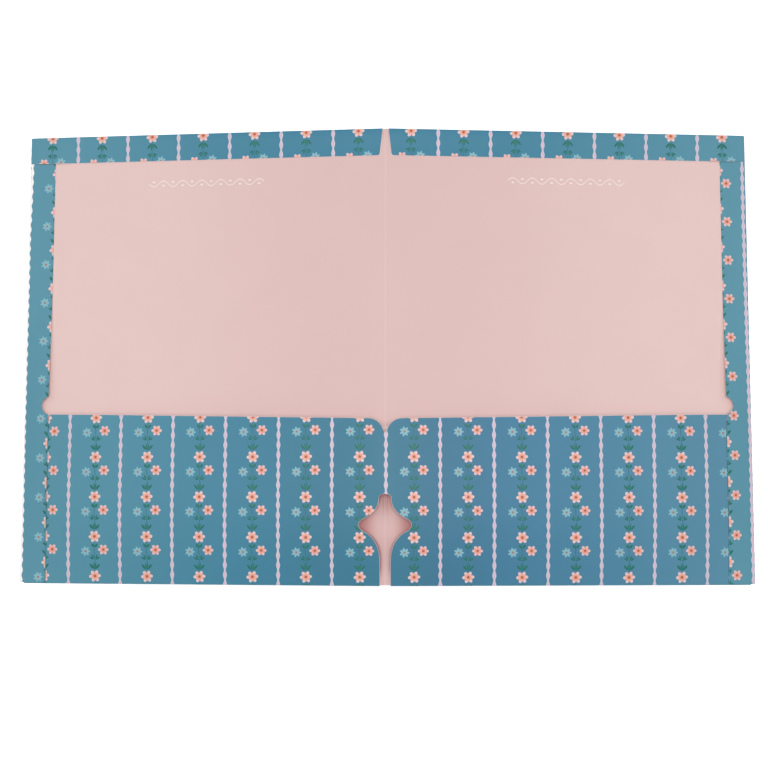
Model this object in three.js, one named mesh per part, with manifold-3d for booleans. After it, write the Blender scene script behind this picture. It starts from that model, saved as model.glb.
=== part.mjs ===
// Twin-pocket presentation folder, die-cut from one sheet of card, then creased, folded and glued.
// It is modelled opened out, inside up, as it comes to rest: the outer folds lie on the surface
// and the spine stands a little off it, so the two covers make a very shallow tent.
// Millimetres, +X across both covers, +Y to the head of the folder, +Z up, origin under the middle.

import * as THREE from 'three';
import { mergeVertices } from 'three/addons/utils/BufferGeometryUtils.js';
import Module from 'manifold-3d';

const wasm = await Module();
wasm.setup();

// Card and covers
const cardThickness = 0.4;
const coverWidth = 241.3; // spine to outer fold
const coverHeight = 298.45; // bottom fold to top fold
const spineRise = 20.5; // how far the spine stands above the outer folds

// Pocket strip, folded up from the bottom edge of both covers
const pocketDepth = 111; // bottom fold to the mouth, at the outer folds
const pocketEndInset = 3; // strip's ends, short of the outer folds
const foldGap = 0.4; // clear space inside the bottom fold
const pocketBulge = 6.4; // how far the empty pocket stands open
const swellReach = 60; // distance from a fold over which the card swells to its full bulge

// Pocket mouth, which falls towards the spine and dips where it crosses it
const mouthFall = 3.9;
const mouthCornerRadius = 10.5;
const mouthGap = 1.5;
const mouthDip = 9.2;

// Four-pointed opening on the spine with a slot running down through the bottom fold
const starHeight = 38.9; // level of the side points
const starTop = 58.6;
const starReach = 16.9; // spine to each side point
const starNeck = 3.9; // half width of the top point
const starCap = 2.6; // height of the top point's round end
const starTip = 3.4; // half height of the side points' round ends
const starTipLength = 2;
const starHollow = 8.5; // how far above and below the side points the hollow sides turn
const slotTop = 15; // level where the star has narrowed to the slot
const slotWidth = 6.8;

// Side flaps, folded in over the ends of the pocket strip and glued to them
const sideFlapWidth = 17.4;
const flapFall = 90; // length above the pocket over which they come down to the covers
const notchRadius = 6.1;
const notchRise = 5.6; // centre of the notch above the pocket's edge
const notchOffset = 1.4; // centre of the notch inside the flap's edge

// Top flaps, folded down over the heads of the side flaps and glued to them
const topFlapWidth = 18.1;
const topFlapInset = 0.5; // outer ends, short of the outer folds
const headGap = 3.5; // space between the top flaps at the top fold
const headSlit = 0.1; // cut on each side of the tongue that the cover keeps between them
const headSplay = 1.9; // how much further each flap stands back at its free edge
const flapCornerRadius = 2;

// Glue joints and creases
const glueBite = 0.1; // how far glued layers are pressed into each other
const scoreDepth = 0.03; // how much a crease thins each side of the card
const creaseRoot = 3; // length over which a folded strip grows out of the cover

// Levels of the folded layers, from the middle of the cover to the middle of the layer
const halfCard = cardThickness / 2;
const pocketSeat = cardThickness + foldGap;
const sideSeat = pocketSeat + cardThickness - glueBite;
const topSeat = sideSeat + cardThickness - glueBite;

// Lines where the flat covers end and the folds begin
const bottomLine = pocketSeat / 2 + halfCard;
const topLine = coverHeight - topSeat / 2 - halfCard;
const sideLine = coverWidth - sideSeat / 2 - halfCard;
const pocketReach = coverWidth - pocketEndInset;
const topFlapEdge = coverHeight - topFlapWidth;
const sideFlapEdge = coverWidth - sideFlapWidth;

const foldFacets = 8;
const swellFacets = 8;
const flapFacets = 4;
const arcFacets = 8;
const cutClearance = 40; // how far a cutting form runs past the card

const tilt = Math.asin(spineRise / coverWidth);

function steps(from, to, count) {
  return Array.from({ length: count + 1 }, (_, i) => from + ((to - from) * i) / count);
}

// Rises from 0 at a fold to 1 where the card has swelled to its full height
function swell(distance) {
  const share = THREE.MathUtils.clamp(distance / swellReach, 0, 1);
  return Math.sin((share * Math.PI) / 2);
}

// Falls from 1 at the pocket's mouth to 0 where the side flaps lie on the covers
function fall(abovePocket) {
  const share = THREE.MathUtils.clamp(abovePocket / flapFall, 0, 1);
  return (1 + Math.cos(share * Math.PI)) / 2;
}

// Lift of the pocket and the side flaps at a place on the folder
function bulgeAt(across, up) {
  const fromSide = sideLine - Math.abs(across);
  return pocketBulge * swell(fromSide) * swell(up - bottomLine) * fall(up - pocketDepth);
}

// Sets a place on the flat folder, with its lift off the cover's middle plane, onto the tent
function onTent(across, up, lift) {
  return new THREE.Vector3(
    across * Math.cos(tilt),
    up - coverHeight / 2,
    spineRise - Math.abs(across) * Math.sin(tilt) + lift / Math.cos(tilt),
  );
}

function toSolid(geometry) {
  const bare = geometry.clone();
  bare.deleteAttribute('normal');
  bare.deleteAttribute('uv');
  const merged = mergeVertices(bare);
  const mesh = new wasm.Mesh({
    numProp: 3,
    vertProperties: new Float32Array(merged.attributes.position.array),
    triVerts: new Uint32Array(merged.index.array),
  });
  return new wasm.Manifold(mesh);
}

// A sheet with a row of stations each way; place() gives the point on one of its two faces
function bentSheet(columns, rows, place) {
  const geometry = new THREE.BoxGeometry(
    columns.length - 1,
    rows.length - 1,
    1,
    columns.length - 1,
    rows.length - 1,
    1,
  );
  const position = geometry.attributes.position;
  for (let i = 0; i < position.count; i += 1) {
    const column = columns[Math.round(position.getX(i) + (columns.length - 1) / 2)];
    const row = rows[Math.round(position.getY(i) + (rows.length - 1) / 2)];
    const point = place(column, row, Math.sign(position.getZ(i)));
    position.setXYZ(i, point.x, point.y, point.z);
  }
  return toSolid(geometry);
}

// A cutting form with the given plan outline, tall enough to pass through every layer
function cutter(shape) {
  const depth = 2 * cutClearance + spineRise;
  const settings = { depth, bevelEnabled: false, curveSegments: arcFacets };
  const geometry = new THREE.ExtrudeGeometry(shape, settings);
  geometry.translate(0, -coverHeight / 2, -cutClearance);
  return toSolid(geometry);
}

// Stations of a strip that grows out of a cover's edge, turns over the fold and lies on the cover:
// along runs away from the fold on the folder, half is half the strip's thickness there
function turnedStrip(seat, reachStations) {
  const radius = seat / 2;
  const root = { along: creaseRoot, lift: 0, turn: 0, half: halfCard - scoreDepth, folded: false };
  const arc = steps(0, Math.PI, foldFacets).map((turn, i) => ({
    along: -radius * Math.sin(turn),
    lift: radius - radius * Math.cos(turn),
    turn,
    half: i === 0 ? halfCard - scoreDepth : halfCard,
    folded: false,
  }));
  const flat = reachStations.map((along) => ({
    along,
    lift: seat,
    turn: Math.PI,
    half: halfCard,
    folded: true,
  }));
  return [root, ...arc, ...flat];
}

// Places where the swelling card needs a bend, shared by every layer so that glued layers match
const swellUp = steps(0, swellReach, swellFacets).slice(1);
const flapStations = steps(sideLine, sideFlapEdge, flapFacets).slice(1);
const innerStations = steps(sideFlapEdge, sideLine - swellReach, swellFacets - 2).slice(1);

// Both covers with their side flaps, one sheet from flap edge to flap edge
function makeCovers() {
  const radius = sideSeat / 2;
  const half = [{ across: 0, lift: 0, turn: 0, folded: false }];
  for (const turn of steps(0, Math.PI, foldFacets)) {
    half.push({
      across: sideLine + radius * Math.sin(turn),
      lift: radius - radius * Math.cos(turn),
      turn,
      folded: false,
    });
  }
  for (const across of flapStations) {
    half.push({ across, lift: sideSeat, turn: Math.PI, folded: true });
  }
  const mirrored = half
    .slice(1)
    .reverse()
    .map((station) => ({ ...station, across: -station.across, turn: -station.turn }));
  const columns = [...mirrored, ...half];
  const rows = [
    bottomLine,
    ...swellUp.map((distance) => bottomLine + distance),
    ...steps(pocketDepth, pocketDepth + flapFall, swellFacets),
    topLine,
  ];
  return bentSheet(columns, rows, (station, up, face) => {
    const lift = station.lift + face * halfCard * Math.cos(station.turn);
    const across = station.across - face * halfCard * Math.sin(station.turn);
    return onTent(across, up, lift + (station.folded ? bulgeAt(station.across, up) : 0));
  });
}

// The side flap's inner edge is notched just above the pocket, so that a thumb can reach the papers
function notchCutter(side) {
  const centre = side * (sideFlapEdge - notchOffset) * Math.cos(tilt);
  const shape = new THREE.Shape();
  shape.absarc(centre, pocketDepth + notchRise, notchRadius, 0, 2 * Math.PI);
  const settings = { depth: cutClearance, bevelEnabled: false, curveSegments: 2 * arcFacets };
  const geometry = new THREE.ExtrudeGeometry(shape, settings);
  const highestAcross = sideFlapEdge - notchOffset - notchRadius;
  const coverTop = onTent(highestAcross, pocketDepth, halfCard).z;
  geometry.translate(0, -coverHeight / 2, coverTop + foldGap / 2);
  return toSolid(geometry);
}

// The opening on the spine: hollow-sided four-pointed star above a slot
function starShape() {
  const halfSlot = slotWidth / 2;
  const shoulder = starReach - starTipLength;
  const aboveTip = starHeight + starTip;
  const belowTip = starHeight - starTip;
  const upperTurn = starHeight + starHollow;
  const lowerTurn = starHeight - starHollow;
  const capBase = starTop - starCap;
  const shape = new THREE.Shape();
  shape.moveTo(-halfSlot, -cutClearance);
  shape.lineTo(halfSlot, -cutClearance);
  shape.lineTo(halfSlot, slotTop);
  shape.quadraticCurveTo(halfSlot, lowerTurn, shoulder, belowTip);
  shape.quadraticCurveTo(starReach, starHeight - starTip / 2, starReach, starHeight);
  shape.quadraticCurveTo(starReach, starHeight + starTip / 2, shoulder, aboveTip);
  shape.quadraticCurveTo(starNeck, upperTurn, starNeck, capBase);
  shape.quadraticCurveTo(starNeck, starTop, 0, starTop);
  shape.quadraticCurveTo(-starNeck, starTop, -starNeck, capBase);
  shape.quadraticCurveTo(-starNeck, upperTurn, -shoulder, aboveTip);
  shape.quadraticCurveTo(-starReach, starHeight + starTip / 2, -starReach, starHeight);
  shape.quadraticCurveTo(-starReach, starHeight - starTip / 2, -shoulder, belowTip);
  shape.quadraticCurveTo(-halfSlot, lowerTurn, -halfSlot, slotTop);
  shape.closePath();
  return shape;
}

// What is cut away above the mouth: it slopes down to two rounded corners that meet at the spine
function mouthShape() {
  const halfGap = mouthGap / 2;
  const inner = pocketDepth - mouthFall;
  const level = inner - mouthCornerRadius;
  const start = halfGap + mouthCornerRadius;
  const cornerEnd = Math.PI / 10; // where each rounded corner runs into the dip
  const endX = start - mouthCornerRadius * Math.cos(cornerEnd);
  const endY = level + mouthCornerRadius * Math.sin(cornerEnd);
  const bottom = inner - mouthDip;
  const shape = new THREE.Shape();
  shape.moveTo(-coverWidth, pocketDepth);
  shape.lineTo(-start, inner);
  shape.absarc(-start, level, mouthCornerRadius, Math.PI / 2, cornerEnd, true);
  shape.quadraticCurveTo(-halfGap, bottom, 0, bottom);
  shape.quadraticCurveTo(halfGap, bottom, endX, endY);
  shape.absarc(start, level, mouthCornerRadius, Math.PI - cornerEnd, Math.PI / 2, true);
  shape.lineTo(coverWidth, pocketDepth);
  shape.lineTo(coverWidth, pocketDepth + cutClearance);
  shape.lineTo(-coverWidth, pocketDepth + cutClearance);
  shape.closePath();
  return shape;
}

// One strip across both covers, turned over the bottom fold and standing open
function makePocket() {
  const outer = [pocketReach, ...flapStations.filter((across) => across < pocketReach), ...innerStations];
  const columns = [...outer.map((across) => -across), 0, ...outer.reverse()];
  const reach = [...swellUp, pocketDepth - bottomLine];
  const strip = bentSheet(columns, turnedStrip(pocketSeat, reach), (across, station, face) => {
    const up = bottomLine + station.along - face * station.half * Math.sin(station.turn);
    const lift = station.lift - face * station.half * Math.cos(station.turn);
    return onTent(across, up, lift + (station.folded ? bulgeAt(across, bottomLine + station.along) : 0));
  });
  return strip.subtract(cutter(starShape())).subtract(cutter(mouthShape()));
}

// Plan of the space between the top flaps at the spine, with the flaps' corners rounded
function headShape() {
  const top = coverHeight + cutClearance;
  const atFold = headGap / 2;
  const atEdge = atFold + headSplay;
  const shape = new THREE.Shape();
  shape.moveTo(-atFold, top);
  shape.lineTo(-atFold, coverHeight);
  shape.lineTo(-atEdge, topFlapEdge + flapCornerRadius);
  shape.quadraticCurveTo(-atEdge, topFlapEdge, -atEdge - flapCornerRadius, topFlapEdge);
  shape.lineTo(-atEdge - flapCornerRadius, topFlapEdge - flapCornerRadius);
  shape.lineTo(atEdge + flapCornerRadius, topFlapEdge - flapCornerRadius);
  shape.lineTo(atEdge + flapCornerRadius, topFlapEdge);
  shape.quadraticCurveTo(atEdge, topFlapEdge, atEdge, topFlapEdge + flapCornerRadius);
  shape.lineTo(atFold, coverHeight);
  shape.lineTo(atFold, top);
  shape.closePath();
  return shape;
}

// The top flap of each cover, made as one strip and parted at the spine
function makeTopFlaps() {
  const reach = coverWidth - topFlapInset;
  const strip = bentSheet(
    [-reach, 0, reach],
    turnedStrip(topSeat, [topFlapWidth - coverHeight + topLine]).reverse(),
    (across, station, face) => {
      const up = topLine - station.along + face * station.half * Math.sin(station.turn);
      const lift = station.lift - face * station.half * Math.cos(station.turn);
      return onTent(across, up, lift);
    },
  );
  return strip.subtract(cutter(headShape()));
}

// Between the top flaps the cover runs on to the level of the top fold as a small flat tongue
function makeHeadTongue() {
  const reach = headGap / 2 - headSlit;
  const half = halfCard - scoreDepth;
  return bentSheet([-reach, 0, reach], [topLine - creaseRoot, coverHeight], (across, up, face) =>
    onTent(across, up, face * half),
  );
}

function makeFolder() {
  const solid = makeCovers()
    .subtract(notchCutter(-1))
    .subtract(notchCutter(1))
    .add(makePocket())
    .add(makeTopFlaps())
    .add(makeHeadTongue());
  const { vertProperties, triVerts } = solid.getMesh();
  const geometry = new THREE.BufferGeometry();
  geometry.setAttribute('position', new THREE.BufferAttribute(new Float32Array(vertProperties), 3));
  geometry.setIndex(new THREE.BufferAttribute(new Uint32Array(triVerts), 1));
  geometry.computeBoundingBox();
  geometry.translate(0, 0, -geometry.boundingBox.min.z);
  geometry.computeVertexNormals();
  return geometry;
}

const card = new THREE.MeshStandardMaterial({ color: 0x5a94a8, roughness: 0.55, metalness: 0 });
const folder = new THREE.Mesh(makeFolder(), card);
folder.name = 'folder';

const model = new THREE.Group();
model.add(folder);

export default model;
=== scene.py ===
"""Twin-pocket presentation folder of printed card, opened out with its pink inside up.

The folder is one die-cut sheet. Its flat outline is filled with points, each point is carried
over the folds to its place, and the sheet gets its thickness from its two printed sides.
Metres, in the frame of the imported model.
"""

import math

import bpy
import numpy as np
from mathutils import Matrix, Vector
from mathutils.geometry import delaunay_2d_cdt


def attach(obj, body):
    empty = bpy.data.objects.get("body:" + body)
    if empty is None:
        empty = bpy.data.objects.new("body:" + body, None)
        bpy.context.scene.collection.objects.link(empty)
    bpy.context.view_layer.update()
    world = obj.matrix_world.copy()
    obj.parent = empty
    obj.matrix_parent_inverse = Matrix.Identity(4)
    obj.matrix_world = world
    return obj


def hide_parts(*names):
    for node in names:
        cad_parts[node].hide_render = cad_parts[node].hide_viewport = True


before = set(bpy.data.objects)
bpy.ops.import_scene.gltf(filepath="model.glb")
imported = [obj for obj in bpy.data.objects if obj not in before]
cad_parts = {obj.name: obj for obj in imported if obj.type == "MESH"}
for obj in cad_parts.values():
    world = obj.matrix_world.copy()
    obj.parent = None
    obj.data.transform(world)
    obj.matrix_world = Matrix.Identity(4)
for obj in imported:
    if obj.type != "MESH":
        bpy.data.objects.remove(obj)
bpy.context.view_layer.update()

MM = 0.001

# Card and covers, in millimetres as on the folder
CARD = 0.4
COVER_WIDTH = 241.3
COVER_HEIGHT = 298.45
SPINE_RISE = 20.5

# Pocket strip
POCKET_DEPTH = 111.0
POCKET_END_INSET = 3.0
FOLD_GAP = 0.4
POCKET_BULGE = 6.4
SWELL_REACH = 60.0
MOUTH_FALL = 3.9
MOUTH_CORNER = 10.5
MOUTH_GAP = 1.5
MOUTH_DIP = 9.2

# Opening on the spine
STAR_HEIGHT = 38.9
STAR_TOP = 58.6
STAR_REACH = 16.9
STAR_NECK = 3.9
STAR_CAP = 2.6
STAR_TIP = 3.4
STAR_TIP_LENGTH = 2.0
STAR_HOLLOW = 8.5
SLOT_TOP = 15.0
SLOT_WIDTH = 6.8

# Side and top flaps
SIDE_FLAP = 17.4
FLAP_FALL = 90.0
NOTCH_RADIUS = 6.1
NOTCH_RISE = 5.6
NOTCH_OFFSET = 1.4
TOP_FLAP = 18.1
TOP_FLAP_INSET = 0.5
HEAD_GAP = 3.5
HEAD_SLIT = 0.1
HEAD_SPLAY = 1.9
FLAP_CORNER = 2.0
GLUE_BITE = 0.1
FLAP_CLEARANCE = 0.05  # where a flap's free edge lies on the cover
RIM = 0.16  # width of the pale rim along the pocket and the top flaps: the burr that the die leaves, with a painted highlight on it

HALF = CARD / 2
POCKET_SEAT = CARD + FOLD_GAP
SIDE_SEAT = POCKET_SEAT + CARD - GLUE_BITE
TOP_SEAT = SIDE_SEAT + CARD - GLUE_BITE
BOTTOM_LINE = POCKET_SEAT / 2 + HALF
TOP_LINE = COVER_HEIGHT - TOP_SEAT / 2 - HALF
SIDE_LINE = COVER_WIDTH - SIDE_SEAT / 2 - HALF
TILT = math.asin(SPINE_RISE / COVER_WIDTH)

# Print, in millimetres: pitch of the stripes and of the flowers along them
COLUMN = 34.8
ROW = 25.93
BEADS_PER_ROW = 4
COVER_ROW_LEVEL = 274.2  # a row of flowers, above the bottom fold
POCKET_ROW_LEVEL = 5.12  # a row of flowers on the pocket, above the bottom fold
POCKET_ROW = 25.74
POCKET_SHIFT = 0.55  # the pocket's print sits this far to the right
FLAP_DRIFT = 0.95  # how far the print on the side flaps has drifted towards the folds
LEFT_DRIFT = 0.65  # more of it on the left flap, below its head
LEFT_DRIFT_UP = 0.35  # and more again above the pocket's foot
FOOT_RISE = 0.7  # how far the pocket's lowest row sits up near the spine
STEM_OFFSET = 0.6  # how far the stems stand off the middle between stripes
STEM_SWAY = 0.3
STEM_WIDTH = 0.4

# Leaf pairs: level on the stem, length, width, degrees off the stem, distance from it
LEAVES = (
    (-21.2, 4.0, 0.7, 13, 0.3),
    (-21.5, 4.8, 1.8, 45, 0.1),
    (-15.2, 3.3, 1.3, 62, 0.5),
    (-14.9, 2.6, 1.0, 34, 1.0),
    (-7.0, 3.1, 1.8, 42, 0.0),
)

# Ornament on the inside, in millimetres
VINE_ACROSS = 120
VINE_UP = 265
VINE_HALF_LENGTH = 39
VINE_WAVE = 13

# Floor, light and viewpoint, in metres and watts
FLOOR_REACH = 1.5
FLOOR_GLOW = 0.6
ROOM_LIGHT = 0.24
SOFTBOXES = (
    ("softbox_top", (0, -0.03, 1.3), (0, -0.02, 0), 0.7, 10.9),
    ("softbox_left", (-1.3, 0.5, 1.3), (0, 0, 0), 1.2, 5.6),
    ("softbox_right", (1.3, 0.5, 1.3), (0, 0, 0), 1.2, 5.6),
)
CAMERA_PLACE = (0.0139, -0.0922, 0.8274)
CAMERA_BACK = (0.01823, -0.0894, 0.99583)
CAMERA_UP = (0.00037, 0.996, 0.08941)
CAMERA_LENS = 58.7


def bend_length(seat):
    """Length of blank that a fold takes up, measured on the outline."""
    return seat + CARD


def share(value, start, end):
    """0 up to the start, 1 from the end on and even between; the end may be the lower."""
    return min(max((value - start) / (end - start), 0.0), 1.0)


def swell(distance):
    """Rises from 0 at a fold to 1 where the card has swelled to its full height."""
    return math.sin(share(distance, 0, SWELL_REACH) * math.pi / 2)


def ease(distance, reach):
    """Goes smoothly from 0 at no distance to 1 at the reach."""
    part = share(distance, 0, reach)
    return part * part * (3 - 2 * part)


def bulge_at(across, up):
    """Lift of the pocket and the side flaps."""
    fall = (1 + math.cos(share(up, POCKET_DEPTH, POCKET_DEPTH + FLAP_FALL) * math.pi)) / 2
    return POCKET_BULGE * swell(SIDE_LINE - abs(across)) * swell(up - BOTTOM_LINE) * fall


def on_tent(across, up, lift):
    """The place on the opened folder, with its lift off the cover's middle plane."""
    return Vector(
        (
            across * math.cos(TILT),
            up - COVER_HEIGHT / 2,
            REST_LEVEL - abs(across) * math.sin(TILT) + lift / math.cos(TILT),
        )
    )


REST_LEVEL = SPINE_RISE + HALF / math.cos(TILT) - (COVER_WIDTH - SIDE_LINE) * math.sin(TILT)


def turn_over(past, seat):
    """How far back, how high and at what turn a strip is, this far past its fold line."""
    length = bend_length(seat)
    radius = seat / 2
    turn = math.pi * share(past, 0, length)
    back = max(past - length, 0.0) - radius * math.sin(turn)
    return back, radius - radius * math.cos(turn), turn


def fold(s, v, side):
    """Folds a point of the blank; side is 1 on the printed face and -1 on the inside."""
    sign = -1.0 if s < 0 else 1.0
    across, up, lift, turn, folded = s, v, 0.0, 0.0, False
    if v < BOTTOM_LINE:
        back, lift, turn = turn_over(BOTTOM_LINE - v, POCKET_SEAT)
        up = BOTTOM_LINE + back
        folded = turn >= math.pi
        if folded:
            lift += bulge_at(across, up)
        up -= side * HALF * math.sin(turn)
    elif v > TOP_LINE and abs(s) > HEAD_GAP / 2 - HEAD_SLIT / 2:
        back, lift, turn = turn_over(v - TOP_LINE, TOP_SEAT)
        droop = ease(back, 12) * ease(COVER_WIDTH - SIDE_FLAP - abs(s), 15)
        lift -= (TOP_SEAT - CARD - FLAP_CLEARANCE) * droop
        up = TOP_LINE - back + side * HALF * math.sin(turn)
    elif abs(s) > SIDE_LINE:
        back, lift, turn = turn_over(abs(s) - SIDE_LINE, SIDE_SEAT)
        droop = ease(back, 8) * ease(v - POCKET_DEPTH - 10, 60)
        lift -= (SIDE_SEAT - CARD - FLAP_CLEARANCE) * droop
        across = sign * (SIDE_LINE - back)
        if turn >= math.pi:
            lift += bulge_at(across, up)
        across += sign * side * HALF * math.sin(turn)
    return on_tent(across, up, lift - side * HALF * math.cos(turn))


# The flat outline of the blank


def pocket_v(up):
    """Height on the blank of a level on the folded pocket."""
    return BOTTOM_LINE - bend_length(POCKET_SEAT) - (up - BOTTOM_LINE)


def flap_s(across):
    """Distance on the blank of a place on the folded side flap."""
    return SIDE_LINE + bend_length(SIDE_SEAT) + (SIDE_LINE - across)


def head_v(up):
    """Height on the blank of a level on the folded top flap."""
    return TOP_LINE + bend_length(TOP_SEAT) + (TOP_LINE - up)


def arc(x, y, radius, start, end, count):
    """Points on an arc, angles in degrees."""
    angles = [math.radians(start + (end - start) * i / count) for i in range(count + 1)]
    return [(x + radius * math.cos(a), y + radius * math.sin(a)) for a in angles]


def quad(a, b, c, count):
    """Points on a quadratic curve after its first point."""
    points = []
    for i in range(1, count + 1):
        t = i / count
        points.append(
            tuple((1 - t) ** 2 * p + 2 * t * (1 - t) * q + t * t * r for p, q, r in zip(a, b, c))
        )
    return points


def half_outline():
    """The right half of the blank's outline, from the pocket's mouth to the head of the spine."""
    start = MOUTH_GAP / 2 + MOUTH_CORNER
    inner = POCKET_DEPTH - MOUTH_FALL
    level = inner - MOUTH_CORNER
    bottom = inner - MOUTH_DIP
    corner = arc(start, level, MOUTH_CORNER, 162, 90, 12)
    mouth = [(0.0, bottom)]
    mouth += quad(mouth[0], (MOUTH_GAP / 2, bottom), corner[0], 5)
    mouth += corner[1:]
    points = [(x, pocket_v(y)) for x, y in mouth]
    reach = COVER_WIDTH - POCKET_END_INSET
    points += [(reach, pocket_v(POCKET_DEPTH)), (reach, BOTTOM_LINE)]
    edge = COVER_WIDTH - SIDE_FLAP
    points += [(flap_s(edge), BOTTOM_LINE)]
    centre = edge - NOTCH_OFFSET
    reach_angle = math.degrees(math.acos(NOTCH_OFFSET / NOTCH_RADIUS))
    notch = arc(centre, POCKET_DEPTH + NOTCH_RISE, NOTCH_RADIUS, -reach_angle, reach_angle, 20)
    points += [(flap_s(x), y) for x, y in notch]
    points += [(flap_s(edge), TOP_LINE)]
    head = COVER_WIDTH - TOP_FLAP_INSET
    free = COVER_HEIGHT - TOP_FLAP
    at_edge = HEAD_GAP / 2 + HEAD_SPLAY
    points += [(head, TOP_LINE), (head, head_v(free))]
    rounding = [(at_edge + FLAP_CORNER, free)]
    rounding += quad(rounding[0], (at_edge, free), (at_edge, free + FLAP_CORNER), 6)
    points += [(x, head_v(y)) for x, y in rounding]
    tongue = HEAD_GAP / 2 - HEAD_SLIT
    points += [(HEAD_GAP / 2, TOP_LINE), (tongue, TOP_LINE), (tongue, COVER_HEIGHT)]
    return [*points, (0.0, COVER_HEIGHT)]


def star_outline():
    """The opening on the spine with its slot, on the blank."""
    half_slot = SLOT_WIDTH / 2
    shoulder = STAR_REACH - STAR_TIP_LENGTH
    slot = (half_slot, SLOT_TOP)
    below = (shoulder, STAR_HEIGHT - STAR_TIP)
    tip = (STAR_REACH, STAR_HEIGHT)
    above = (shoulder, STAR_HEIGHT + STAR_TIP)
    neck = (STAR_NECK, STAR_TOP - STAR_CAP)
    right = [(half_slot, 0.0), slot]
    right += quad(slot, (half_slot, STAR_HEIGHT - STAR_HOLLOW), below, 14)
    right += quad(below, (STAR_REACH, STAR_HEIGHT - STAR_TIP / 2), tip, 6)
    right += quad(tip, (STAR_REACH, STAR_HEIGHT + STAR_TIP / 2), above, 6)
    right += quad(above, (STAR_NECK, STAR_HEIGHT + STAR_HOLLOW), neck, 14)
    right += quad(neck, (STAR_NECK, STAR_TOP), (0.0, STAR_TOP), 8)
    points = [(x, pocket_v(y) if y > 0 else BOTTOM_LINE) for x, y in right]
    return points + [(-x, v) for x, v in reversed(points[:-1])]


def stations(start, end, spacing):
    """Evenly spaced values from start to end."""
    count = max(1, round(abs(end - start) / spacing))
    return [start + (end - start) * i / count for i in range(count + 1)]


def bend_stations(line, seat, direction, count=10):
    """Values across a fold."""
    return [line + direction * bend_length(seat) * i / count for i in range(count + 1)]


def inside_polygon(points, polygon):
    """Even-odd test of many points."""
    x, y = points[:, 0], points[:, 1]
    hit = np.zeros(len(points), dtype=bool)
    for (x1, y1), (x2, y2) in zip(polygon, polygon[1:] + polygon[:1]):
        if y1 != y2:
            across = (y1 > y) != (y2 > y)
            hit ^= across & (x < (x2 - x1) * (y - y1) / (y2 - y1) + x1)
    return hit


def edge_distance(points, loops):
    """Distance of each point from the nearest cut edge."""
    nearest = np.full(len(points), np.inf)
    for loop in loops:
        for a, b in zip(loop, loop[1:] + loop[:1]):
            start, along = np.array(a), np.subtract(b, a)
            t = np.clip((points - start) @ along / (along @ along), 0, 1)
            away = points - start - t[:, None] * along
            nearest = np.minimum(nearest, np.linalg.norm(away, axis=1))
    return nearest


def inset(loop, distance):
    """The loop moved to its left by a small distance."""
    moved = []
    for before, point, after in zip(loop[-1:] + loop[:-1], loop, loop[1:] + loop[:1]):
        into = Vector(np.subtract(point, before)).normalized()
        out = Vector(np.subtract(after, point)).normalized()
        mitre = Vector((-into.y - out.y, into.x + out.x)) / (1 + into.dot(out))
        moved.append((point[0] + mitre.x * distance, point[1] + mitre.y * distance))
    return moved


def grid_values():
    """Station values across and along the blank, fine at the folds and where the card swells."""
    side = stations(0, SIDE_LINE - SWELL_REACH, 8)
    side += stations(SIDE_LINE - SWELL_REACH, SIDE_LINE, 4)[1:]
    side += bend_stations(SIDE_LINE, SIDE_SEAT, 1)[1:]
    side += stations(side[-1], flap_s(COVER_WIDTH - SIDE_FLAP), 3)[1:]
    across = sorted({round(x, 5) for value in side for x in (value, -value)})
    along = stations(pocket_v(POCKET_DEPTH), pocket_v(BOTTOM_LINE), 4)
    along += reversed(bend_stations(BOTTOM_LINE, POCKET_SEAT, -1)[:-1])
    along += stations(BOTTOM_LINE, TOP_LINE, 6)[1:]
    along += bend_stations(TOP_LINE, TOP_SEAT, 1)[1:]
    along += stations(along[-1], head_v(COVER_HEIGHT - TOP_FLAP), 4)[1:]
    return across, sorted({round(v, 5) for v in along})


def print_place(s, v):
    """The place of a blank point in the print: flowers upright, stripes at whole columns."""
    if v < BOTTOM_LINE:
        up = 2 * BOTTOM_LINE - bend_length(POCKET_SEAT) - v
        raised = FOOT_RISE * share(abs(s), 150, 0) * share(up, 24, 4)
        level = up - POCKET_ROW_LEVEL - raised
        return (s - POCKET_SHIFT) * MM, level * ROW / POCKET_ROW * MM
    near_fold = share(abs(s), 180, 240)
    left = FLAP_DRIFT + (LEFT_DRIFT + LEFT_DRIFT_UP * share(v, 40, 100)) * share(v, 275, 230)
    right = FLAP_DRIFT * share(v, 240, 90)
    drift = left if s < 0 else right
    x = abs(s) + drift * near_fold
    level = v - COVER_ROW_LEVEL + (FLAP_DRIFT * near_fold if s < 0 else 0.0)
    return math.copysign(x, -s) * MM, level * MM


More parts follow.
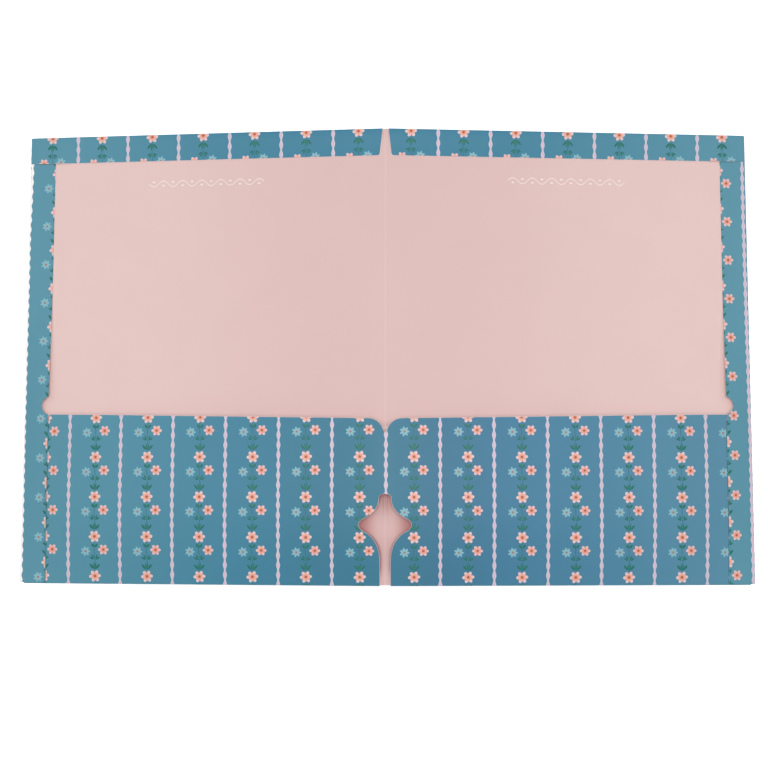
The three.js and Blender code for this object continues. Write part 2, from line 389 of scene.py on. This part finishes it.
def fill_blank():
    """Triangles of the flat blank, and which of them are its pale rim of die burr and painted
    highlight.
    """
    right = half_outline()
    outline = right + [(-x, v) for x, v in reversed(right[1:-1])]
    star = star_outline()
    area = sum(x1 * y2 - x2 * y1 for (x1, y1), (x2, y2) in zip(outline, outline[1:] + outline[:1]))
    if area < 0:
        outline.reverse()
    area = sum(x1 * y2 - x2 * y1 for (x1, y1), (x2, y2) in zip(star, star[1:] + star[:1]))
    if area > 0:
        star.reverse()
    cut = [outline, star]
    loops = [*cut, inset(outline, RIM), inset(star, RIM)]
    verts, edges = [], []
    for loop in loops:
        base = len(verts)
        verts += [Vector(p) for p in loop]
        edges += [(base + i, base + (i + 1) % len(loop)) for i in range(len(loop))]
    across, along = grid_values()
    grid = np.array([(x, y) for x in across for y in along])
    kept = inside_polygon(grid, outline) & ~inside_polygon(grid, star)
    kept &= edge_distance(grid, cut) > RIM + 0.02
    verts += [Vector(p) for p in grid[kept]]
    # Where a station line crosses a loop, the loop gets a point too
    found = set()
    for loop in loops:
        for (x1, y1), (x2, y2) in zip(loop, loop[1:] + loop[:1]):
            for x in across:
                if min(x1, x2) + 1e-4 < x < max(x1, x2) - 1e-4:
                    found.add((x, y1 + (y2 - y1) * (x - x1) / (x2 - x1)))
            for y in along:
                if min(y1, y2) + 1e-4 < y < max(y1, y2) - 1e-4:
                    found.add((x1 + (x2 - x1) * (y - y1) / (y2 - y1), y))
    verts += [Vector(p) for p in sorted(found)]
    points, _, faces, *_ = delaunay_2d_cdt(verts, edges, [], 1, 1e-4)
    centres = np.array([np.mean([points[i] for i in face], axis=0) for face in faces])
    card = inside_polygon(centres, outline) & ~inside_polygon(centres, star)
    over_cover = centres[:, 1] > TOP_LINE + bend_length(TOP_SEAT)
    over_cover &= abs(centres[:, 0]) < COVER_WIDTH - SIDE_FLAP
    # The pale rim is the die's burr, painted pale as a highlight of the cut edge along the pocket
    # and the top flaps' free edges.
    rim_burr_and_highlight = (edge_distance(centres, cut) < RIM * 0.7) & (over_cover | (centres[:, 1] < BOTTOM_LINE))
    chosen = [(face, w) for face, c, w in zip(faces, card, rim_burr_and_highlight) if c]
    return points, [face for face, _ in chosen], [w for _, w in chosen]


PRINTED, INSIDE, EDGE = range(3)


def make_card():
    """The folded sheet as one mesh with a printed side, an inside and cut edges."""
    points, faces, rim_burr_and_highlight = fill_blank()
    count = len(points)
    verts = [fold(p.x, p.y, 1) * MM for p in points] + [fold(p.x, p.y, -1) * MM for p in points]
    borders = {}
    for face in faces:
        for a, b in zip(face, face[1:] + face[:1]):
            if (b, a) in borders:
                del borders[(b, a)]
            else:
                borders[(a, b)] = True
    polygons, slots = [], []
    # Faces of the pale rim (die burr and painted highlight) take the cut-edge material on the
    # printed side.
    for face, rim in zip(faces, rim_burr_and_highlight):
        polygons.append(tuple(reversed(face)))
        slots.append(EDGE if rim else PRINTED)
        polygons.append(tuple(i + count for i in face))
        slots.append(INSIDE)
    for a, b in borders:
        polygons.append((a, b, b + count, a + count))
        slots.append(EDGE)
    mesh = bpy.data.meshes.new("folder_card")
    mesh.from_pydata([tuple(v) for v in verts], [], polygons)
    mesh.validate()
    printed = mesh.uv_layers.new(name="print")
    blank = mesh.uv_layers.new(name="blank")
    for polygon in mesh.polygons:
        polygon.material_index = slots[polygon.index]
        polygon.use_smooth = True
        centre = sum(points[i % count].y for i in polygon.vertices) / len(polygon.vertices)
        for loop in polygon.loop_indices:
            p = points[mesh.loops[loop].vertex_index % count]
            low = min(p.y, BOTTOM_LINE - 1e-6) if centre < BOTTOM_LINE else max(p.y, BOTTOM_LINE)
            printed.data[loop].uv = print_place(p.x, low)
            blank.data[loop].uv = (p.x * MM, p.y * MM)
    mesh.set_sharp_from_angle(angle=math.radians(50))
    piece = bpy.data.objects.new("folder_card", mesh)
    bpy.context.collection.objects.link(piece)
    return piece


class Field:
    """A value in a node tree, so that a pattern can be written as a formula."""

    def __init__(self, tree, socket):
        self.tree, self.socket = tree, socket

    def math(self, operation, *others):
        node = self.tree.nodes.new("ShaderNodeMath")
        node.operation = operation
        for slot, value in zip(node.inputs, (self, *others)):
            if isinstance(value, Field):
                self.tree.links.new(value.socket, slot)
            else:
                slot.default_value = value
        return Field(self.tree, node.outputs[0])

    def __add__(self, other):
        return self.math("ADD", other)

    def __sub__(self, other):
        return self.math("SUBTRACT", other)

    def __mul__(self, other):
        return self.math("MULTIPLY", other)

    def __truediv__(self, other):
        return self.math("DIVIDE", other)

    def abs(self):
        return self.math("ABSOLUTE")

    def power(self, other):
        return self.math("POWER", other)

    def maximum(self, other):
        return self.math("MAXIMUM", other)

    def minimum(self, other):
        return self.math("MINIMUM", other)

    def wrapped(self, period):
        return self.math("WRAP", period / 2, -period / 2)

    def ramp(self, low, high):
        """0 below low, 1 above high, smooth between; low may be the larger."""
        node = self.tree.nodes.new("ShaderNodeMapRange")
        node.interpolation_type = "SMOOTHSTEP"
        node.inputs["From Min"].default_value = min(low, high)
        node.inputs["From Max"].default_value = max(low, high)
        node.inputs["To Min"].default_value = 0.0 if low < high else 1.0
        node.inputs["To Max"].default_value = 1.0 if low < high else 0.0
        self.tree.links.new(self.socket, node.inputs["Value"])
        return Field(self.tree, node.outputs["Result"])


def srgb(red, green, blue):
    """Linear colour from 0 to 255 values."""
    linear = []
    for value in (red, green, blue):
        c = value / 255
        linear.append(c / 12.92 if c <= 0.04045 else ((c + 0.055) / 1.055) ** 2.4)
    return (*linear, 1.0)


class Paint:
    """Layers colours over each other in a node tree."""

    def __init__(self, tree, colour):
        self.tree = tree
        self.colour = colour

    def over(self, mask, colour):
        node = self.tree.nodes.new("ShaderNodeMix")
        node.data_type = "RGBA"
        factor, below, above = node.inputs[0], node.inputs[6], node.inputs[7]
        self.tree.links.new(mask.socket, factor)
        for slot, value in ((below, self.colour), (above, colour)):
            if isinstance(value, tuple):
                slot.default_value = value
            else:
                self.tree.links.new(value, slot)
        self.colour = node.outputs[2]


SOFT = 0.16 * MM  # how soft the edges of the print are

GROUND = srgb(62, 128, 154)
# painted light: the ground's lighter colour towards the outer edges
GROUND_OUTER_PAINTED_LIGHT = srgb(89, 147, 166)
GROUND_RIGHT = srgb(80, 100, 160)
# painted shade on the pocket near the spine
GROUND_PAINTED_SHADE = srgb(0, 20, 30)
STRIPE = srgb(208, 202, 216)
STRIPE_HEART = srgb(214, 184, 200)
LEAF = srgb(30, 108, 100)
LEAF_LIGHT = srgb(48, 126, 112)
STEM = srgb(42, 112, 120)
PEACH_TIP = srgb(226, 202, 206)
PEACH = srgb(238, 170, 148)
PEACH_EYE = srgb(170, 82, 58)
ORANGE_TIP = srgb(226, 196, 198)
ORANGE = srgb(236, 162, 142)
TEAL_TIP = srgb(126, 184, 200)
TEAL = srgb(140, 184, 194)
TEAL_EYE = srgb(158, 112, 104)
PINK = srgb(218, 186, 183)
# painted light: the pink's lighter colour towards the outer edges
PINK_OUTER_PAINTED_LIGHT = srgb(229, 199, 195)
# painted shade inside the pocket round the star
PINK_PAINTED_SHADE = srgb(188, 124, 122)
CREASE = srgb(206, 168, 166)
# dark score lines in the star's neck, and painted shade along the slot
STAR_SCORE_AND_SHADE = srgb(150, 92, 92)
CREASE_CROWN = srgb(232, 206, 202)
# painted light where the inside shows through the V of the mouth
MOUTH_PAINTED_LIGHT = srgb(250, 226, 224)
ORNAMENT = srgb(250, 244, 236)
CARD_CORE = srgb(236, 214, 212)
CARD_LAYER = srgb(222, 200, 194)
FOLD_WEAR = srgb(214, 200, 210)
FOLD_WHITE = srgb(255, 253, 252)
SEAM_SHADE = srgb(26, 70, 76)


def noise(tree, coordinate, scale, detail=3.0):
    """A noise value about 0.5."""
    node = tree.nodes.new("ShaderNodeTexNoise")
    node.inputs["Scale"].default_value = scale
    node.inputs["Detail"].default_value = detail
    tree.links.new(coordinate, node.inputs["Vector"])
    return Field(tree, node.outputs["Fac"])


def uv_fields(tree, layer):
    """The two coordinates of a UV layer, in metres."""
    node = tree.nodes.new("ShaderNodeUVMap")
    node.uv_map = layer
    split = tree.nodes.new("ShaderNodeSeparateXYZ")
    tree.links.new(node.outputs[0], split.inputs[0])
    return Field(tree, split.outputs[0]), Field(tree, split.outputs[1])


def flower(paint, x, y, at, radius, petals, turn, waist, point, colours):
    """A flower repeated in every cell of the print; waist is how far out its petals part."""
    tip, body, eye = colours
    dx = (x - at[0] * MM).wrapped(COLUMN * MM)
    dy = (y - at[1] * MM).wrapped(ROW * MM)
    rho = (dx * dx + dy * dy).power(0.5)
    angle = dy.math("ARCTAN2", dx)
    wave = (angle * (petals / 2) + math.radians(turn)).math("COSINE").abs()
    rim = wave.power(point) * ((1 - waist) * radius * MM) + waist * radius * MM
    paint.over((rho - rim).ramp(SOFT, -SOFT), tip)
    paint.over((rho / (radius * MM)).ramp(0.9, 0.35), body)
    paint.over((rho / (radius * MM)).ramp(0.42, 0.16) * 0.5, eye)
    paint.over((rho - 0.17 * radius * MM).ramp(SOFT, -SOFT), eye)


def leaf_pair(paint, x, y, at, length, width, spread, reach):
    """Two leaves, one each side of the stem, pointing up and out by spread degrees."""
    dx = (x - at[0] * MM).wrapped(COLUMN * MM).abs()
    dy = (y - at[1] * MM).wrapped(ROW * MM)
    angle = math.radians(spread)
    along = dx * math.sin(angle) + dy * math.cos(angle) - (reach + length / 2) * MM
    aside = dx * math.cos(angle) - dy * math.sin(angle)
    share = (along / (length / 2 * MM)).abs()
    rim = (share * share * -1.0 + 1.0) * (width / 2 * MM)
    inside = (aside.abs() - rim).ramp(SOFT, -SOFT)
    paint.over(inside, LEAF)
    paint.over(inside * aside.ramp(-0.1 * MM, -0.3 * MM), LEAF_LIGHT)


def paint_print(tree):
    """Beaded stripes between columns of flowers on thin stems, white where the left side folds."""
    x, y = uv_fields(tree, "print")
    ground = Paint(tree, GROUND)
    # Painted light: the ground is lighter towards the outer edges and darker in the middle, for
    # the sheen and light the covers catch there.
    ground.over(x.abs().ramp(60 * MM, 260 * MM), GROUND_OUTER_PAINTED_LIGHT)
    s, v = uv_fields(tree, "blank")
    pocket = v.ramp(0.0, -1 * MM)
    ground.over(s.ramp(0.0, 40 * MM) * pocket * 0.15, GROUND_RIGHT)
    # Painted shade: the pocket's ground is darkened near the spine.
    ground.over(s.abs().ramp(100 * MM, 20 * MM) * pocket * 0.12, GROUND_PAINTED_SHADE)
    centre = COLUMN / 2 + STEM_OFFSET
    dx = (x - centre * MM).wrapped(COLUMN * MM)
    sway = (y * (2 * math.pi / (ROW * MM))).math("SINE") * (STEM_SWAY * MM)
    stem = ((dx - sway).abs() - STEM_WIDTH / 2 * MM).ramp(SOFT, -SOFT)
    ground.over(stem, STEM)
    for level, *leaf in LEAVES:
        leaf_pair(ground, x, y, (centre, level), *leaf)
    teal = (TEAL_TIP, TEAL, TEAL_EYE)
    peach = (PEACH_TIP, PEACH, PEACH_EYE)
    orange = (ORANGE_TIP, ORANGE, PEACH_EYE)
    flower(ground, x, y, (centre - 6.1, -9.7), 3.3, 7, 4, 0.26, 1.1, teal)
    flower(ground, x, y, (centre + 5.9, -8.6), 3.5, 6, 0, 0.34, 0.62, orange)
    flower(ground, x, y, (centre, 0.0), 3.95, 6, -15, 0.34, 0.62, peach)
    edge = x.wrapped(COLUMN * MM)
    phase = (y - 1.2 * MM) * (2 * math.pi * BEADS_PER_ROW / (ROW * MM))
    swelling = phase.math("COSINE") * 0.5 + 0.5
    half_width = swelling * (0.72 * MM) + 0.58 * MM
    beads = (edge.abs() - half_width).ramp(SOFT, -SOFT)
    ground.over(beads, STRIPE)
    heart = (edge.abs() - (half_width - 0.55 * MM)).ramp(SOFT * 2, -SOFT * 2)
    ground.over(heart, STRIPE_HEART)
    ground.over(beads * x.ramp(241 * MM, 242 * MM) * 0.9, FOLD_WHITE)
    return ground


def paint_ornament(tree, paint):
    """A small white vine with dots near the head of each cover's inside."""
    s, v = uv_fields(tree, "blank")
    along = s.abs() - VINE_ACROSS * MM
    up = v - VINE_UP * MM
    turns = along * (2 * math.pi / (VINE_WAVE * MM))
    wave = turns.math("SINE") * (2.0 * MM)
    within = (along.abs() - VINE_HALF_LENGTH * MM).ramp(0.4 * MM, -0.4 * MM)
    line = ((up - wave).abs() - 0.32 * MM).ramp(SOFT, -SOFT)
    bud_x = (along - VINE_WAVE / 4 * MM).wrapped(VINE_WAVE / 2 * MM)
    bud_y = up - turns.math("SINE") * (-1.2 * MM)
    bud = (bud_x * bud_x * 0.4 + bud_y * bud_y).power(0.5)
    bud = (bud - 0.62 * MM).ramp(SOFT, -SOFT)
    paint.over(line.maximum(bud) * within * 0.6, ORNAMENT)


def object_coordinate(tree):
    return tree.nodes.new("ShaderNodeTexCoord").outputs["Object"]


def tone(tree, colour, value, low, high):
    """Lightens and darkens a colour by a value about 0.5."""
    node = tree.nodes.new("ShaderNodeHueSaturation")
    scaled = value.ramp(0.3, 0.7) * (high - low) + low
    tree.links.new(scaled.socket, node.inputs["Value"])
    if isinstance(colour, tuple):
        node.inputs["Color"].default_value = colour
    else:
        tree.links.new(colour, node.inputs["Color"])
    return node.outputs[0]


def card_material(name, paint_colour, shine, grain):
    """Coated card: a colour with faint mottling, paper grain and a satin or matt surface."""
    material = bpy.data.materials.new(name)
    material.use_nodes = True
    tree = material.node_tree
    shader = tree.nodes["Principled BSDF"]
    place = object_coordinate(tree)
    colour = paint_colour(tree)
    mottle = noise(tree, place, 30.0)
    colour = tone(tree, colour, mottle, 0.992, 1.008)
    tree.links.new(colour, shader.inputs["Base Color"])
    rough = noise(tree, place, 260.0) * 0.12 + shine
    tree.links.new(rough.socket, shader.inputs["Roughness"])
    shader.inputs["IOR"].default_value = 1.45
    shader.inputs["Specular IOR Level"].default_value = 0.35
    bump = tree.nodes.new("ShaderNodeBump")
    bump.inputs["Strength"].default_value = grain
    bump.inputs["Distance"].default_value = 0.05 * MM
    fibre = noise(tree, place, 1500.0, 4.0)
    tree.links.new(fibre.socket, bump.inputs["Height"])
    tree.links.new(bump.outputs[0], shader.inputs["Normal"])
    return material


def print_colour(tree):
    """The print, rubbed pale on the side folds and darker where the flaps' edges lie on it."""
    paint = paint_print(tree)
    s, v = uv_fields(tree, "blank")
    crown = (s.abs() - (SIDE_LINE + bend_length(SIDE_SEAT) * 0.6) * MM).abs()
    rubbed = noise(tree, object_coordinate(tree), 220.0).ramp(0.3, 0.6) * 0.45 + 0.25
    right_side = s.ramp(-1 * MM, 1 * MM) * 0.6 + 0.4
    paint.over(crown.ramp(0.7 * MM, 0.1 * MM) * rubbed * right_side, FOLD_WEAR)
    seam = (s.abs() - (COVER_WIDTH - SIDE_FLAP - 0.1) * MM).abs().ramp(0.5 * MM, 0.1 * MM)
    paint.over(seam * v.ramp(0.0, -1 * MM) * 0.6, SEAM_SHADE)
    return paint.colour


def inside_colour(tree):
    """Pink with the scores at the spine and the vine; painted light makes it paler towards the
    outer edges and where it shows in the V of the pocket's mouth, and painted shade deepens it in
    the pocket round the star and its slot.
    """
    paint = Paint(tree, PINK)
    s, v = uv_fields(tree, "blank")
    # Painted light: the pink is lighter towards the outer edges and darker in the middle.
    paint.over(s.abs().ramp(20 * MM, 220 * MM), PINK_OUTER_PAINTED_LIGHT)
    # Painted shade: deeper pink under the pocket, at the star's tips and up its neck, for the
    # shadow and the reddened bounce light inside the pocket.
    under = v.ramp(94 * MM, 84 * MM)
    paint.over(under * 0.16, PINK_PAINTED_SHADE)
    paint.over(s.abs().ramp(4 * MM, 16 * MM) * under * 0.9, PINK_PAINTED_SHADE)
    paint.over(v.ramp(44 * MM, 58 * MM) * under * 0.6, PINK_PAINTED_SHADE)
    # Painted shade along the slot's edges up to the star's tips, heavier on the left, and a little
    # over the whole slot.
    shoulder = STAR_REACH - STAR_TIP_LENGTH - SLOT_WIDTH / 2
    rise = STAR_HEIGHT - STAR_TIP - SLOT_TOP
    flare = ((v - SLOT_TOP * MM) / (rise * MM)).maximum(0.0).minimum(1.0).power(3.1)
    half_open = flare * (shoulder * MM) + SLOT_WIDTH / 2 * MM
    by_edge = (s.abs() - half_open).ramp(-2.2 * MM, 0.0)
    leftward = s.ramp(-1 * MM, 1 * MM) * -0.4 + 1.0
    slot = v.ramp(4 * MM, 13 * MM)
    paint.over(by_edge * slot * v.ramp(38 * MM, 31 * MM) * leftward * 0.6, STAR_SCORE_AND_SHADE)
    paint.over(slot * v.ramp(38 * MM, 26 * MM) * 0.1, STAR_SCORE_AND_SHADE)
    paint.over((s.abs() - 0.8 * MM).ramp(0.4 * MM, -0.4 * MM) * 0.14, CREASE_CROWN)
    score = (s.abs() - 1.3 * MM).abs().ramp(0.45 * MM, 0.0)
    paint.over(score * 0.1, CREASE)
    # Dark score lines in the star's neck, in the colour that also paints the shade by the slot.
    neck = v.ramp(38 * MM, 56 * MM) * under
    paint.over(score.maximum(s.abs().ramp(0.35 * MM, 0.0)) * neck * 0.5, STAR_SCORE_AND_SHADE)
    # Painted light: the inside is lightened at the V of the pocket's mouth, against the shade that
    # falls there.
    dip = (v - 98.5 * MM).abs().ramp(5 * MM, 1.5 * MM) * s.abs().ramp(3.5 * MM, 1 * MM)
    paint.over(dip * 0.9, MOUTH_PAINTED_LIGHT)
    paint_ornament(tree, paint)
    return paint.colour


def edge_colour(tree):
    paint = Paint(tree, CARD_CORE)
    layers = noise(tree, object_coordinate(tree), 900.0)
    paint.over(layers.ramp(0.45, 0.7) * 0.5, CARD_LAYER)
    return paint.colour


def make_floor():
    """A plain pale floor that shows white and keeps the shadow."""
    reach = FLOOR_REACH
    mesh = bpy.data.meshes.new("floor")
    corners = [(-reach, -reach, 0), (reach, -reach, 0), (reach, reach, 0), (-reach, reach, 0)]
    mesh.from_pydata(corners, [], [(0, 1, 2, 3)])
    floor = bpy.data.objects.new("floor", mesh)
    bpy.context.collection.objects.link(floor)
    material = bpy.data.materials.new("floor_white")
    material.use_nodes = True
    tree = material.node_tree
    shader = tree.nodes["Principled BSDF"]
    shader.inputs["Base Color"].default_value = (0.92, 0.92, 0.92, 1)
    shader.inputs["Roughness"].default_value = 0.9
    light = tree.nodes.new("ShaderNodeLightPath")
    seen = Field(tree, light.outputs["Is Camera Ray"])
    seen = seen.maximum(Field(tree, light.outputs["Is Glossy Ray"]))
    seen = seen.maximum(Field(tree, light.outputs["Is Transmission Ray"]))
    glow = seen * FLOOR_GLOW
    shader.inputs["Emission Color"].default_value = (1, 1, 1, 1)
    tree.links.new(glow.socket, shader.inputs["Emission Strength"])
    mesh.materials.append(material)


def add_area(name, place, target, size, power):
    light = bpy.data.lights.new(name, "AREA")
    light.shape = "SQUARE"
    light.size = size
    light.energy = power
    lamp = bpy.data.objects.new(name, light)
    lamp.location = place
    direction = Vector(target) - Vector(place)
    lamp.rotation_euler = direction.to_track_quat("-Z", "Y").to_euler()
    bpy.context.collection.objects.link(lamp)


def make_light():
    world = bpy.data.worlds.new("studio")
    bpy.context.scene.world = world
    world.use_nodes = True
    background = world.node_tree.nodes["Background"]
    background.inputs["Color"].default_value = (1.0, 1.0, 1.0, 1)
    path = world.node_tree.nodes.new("ShaderNodeLightPath")
    seen = Field(world.node_tree, path.outputs["Is Camera Ray"])
    strength = seen * (1 - ROOM_LIGHT) + ROOM_LIGHT
    world.node_tree.links.new(strength.socket, background.inputs["Strength"])
    for softbox in SOFTBOXES:
        add_area(*softbox)


def make_camera():
    """The photograph's viewpoint: nearly overhead, a little towards the bottom edge."""
    back = Vector(CAMERA_BACK).normalized()
    up = Vector(CAMERA_UP)
    right = up.cross(back).normalized()
    up = back.cross(right)
    data = bpy.data.cameras.new("camera")
    data.sensor_width = 36.0
    data.lens = CAMERA_LENS
    camera = bpy.data.objects.new("camera", data)
    turn = Matrix((right, up, back)).transposed().to_4x4()
    camera.matrix_world = Matrix.Translation(CAMERA_PLACE) @ turn
    bpy.context.collection.objects.link(camera)
    bpy.context.scene.camera = camera


def main():
    scene = bpy.context.scene
    scene.view_settings.view_transform = "Standard"
    card = make_card()
    card.data.materials.append(card_material("printed_side", print_colour, 0.42, 0.2))
    card.data.materials.append(card_material("pink_side", inside_colour, 0.5, 0.25))
    card.data.materials.append(card_material("cut_edge", edge_colour, 0.75, 0.5))
    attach(card, "root")
    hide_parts("folder")
    make_floor()
    make_light()
    make_camera()


main()
